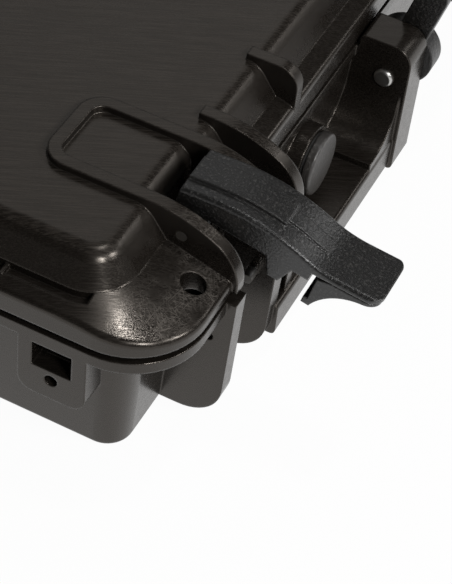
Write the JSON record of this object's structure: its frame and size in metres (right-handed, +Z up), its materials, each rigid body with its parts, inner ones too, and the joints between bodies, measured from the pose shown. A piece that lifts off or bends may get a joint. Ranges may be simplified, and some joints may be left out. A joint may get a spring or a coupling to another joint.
{
  "type": "hard transport case",
  "caption": "Moulded hard case with a hinged, gasketed lid, ribbed trigger latches that swing over the front edge, a folding front handle, a pressure vent and padlock ears.",
  "frame": {"origin": "centre of the flat face that the case rests on", "axes": "+X along the width, -Y towards the latches and handle, +Z up"},
  "size_m": [0.52, 0.4362, 0.0956],
  "materials": {
    "shell_plastic": "moulded black plastic with a fine brushed grain, worn glossy on the rim",
    "lever_plastic": "matte black grained plastic",
    "trigger_plastic": "matte black plastic",
    "handle_plastic": "satin black plastic",
    "grip_rubber": "soft dark rubber",
    "gasket_rubber": "black rubber",
    "pin_steel": "bright steel",
    "spring_steel": "spring steel wire",
    "vent_plastic": "satin black plastic",
    "vent_membrane": "thin pale breathing membrane"
  },
  "bodies": {
    "base": {"lower_shell": "shell_plastic", "hinge_pin_left": "pin_steel", "hinge_pin_right": "pin_steel", "keeper_pegs_left": "pin_steel", "keeper_pegs_right": "pin_steel", "handle_pins": "pin_steel", "vent_body": "vent_plastic", "vent_cap": "vent_plastic", "vent_nut": "vent_plastic", "vent_seal": "gasket_rubber", "vent_membrane": "vent_membrane"},
    "lid": {"lid_shell": "shell_plastic", "lid_gasket": "gasket_rubber", "latch_pivot_pin_left": "pin_steel", "latch_pivot_pin_right": "pin_steel"},
    "handle": {"handle_frame": "handle_plastic", "handle_grip": "grip_rubber"},
    "lever_left": {"latch_lever_left": "lever_plastic", "trigger_pin_left": "pin_steel", "trigger_spring_left": "spring_steel"},
    "trigger_left": {"latch_trigger_left": "trigger_plastic"},
    "lever_right": {"latch_lever_right": "lever_plastic", "trigger_pin_right": "pin_steel", "trigger_spring_right": "spring_steel"},
    "trigger_right": {"latch_trigger_right": "trigger_plastic"}
  },
  "joints": [
    {"name": "lid_hinge", "type": "hinge", "parent": "base", "child": "lid", "pos_m": [0, 0.1965, 0.0635], "axis": [-1, 0, 0], "range_deg": [0, 105]},
    {"name": "latch_swing_left", "type": "hinge", "parent": "lid", "child": "lever_left", "pos_m": [-0.195, -0.166, 0.081], "axis": [1, 0, 0], "range_deg": [0, 60]},
    {"name": "trigger_rock_left", "type": "hinge", "parent": "lever_left", "child": "trigger_left", "pos_m": [-0.195, -0.21636, 0.07745], "axis": [1, 0, 0], "range_deg": [0, 18], "stiffness_Nm_per_rad": 0.02, "springref_deg": 18},
    {"name": "latch_swing_right", "type": "hinge", "parent": "lid", "child": "lever_right", "pos_m": [0.195, -0.166, 0.081], "axis": [1, 0, 0], "range_deg": [0, 60]},
    {"name": "trigger_rock_right", "type": "hinge", "parent": "lever_right", "child": "trigger_right", "pos_m": [0.195, -0.21636, 0.07745], "axis": [1, 0, 0], "range_deg": [0, 18], "stiffness_Nm_per_rad": 0.02, "springref_deg": 18},
    {"name": "handle_swing", "type": "hinge", "parent": "base", "child": "handle", "pos_m": [0, -0.1815, 0.052], "axis": [-1, 0, 0], "range_deg": [-165, 0]}
  ]
}
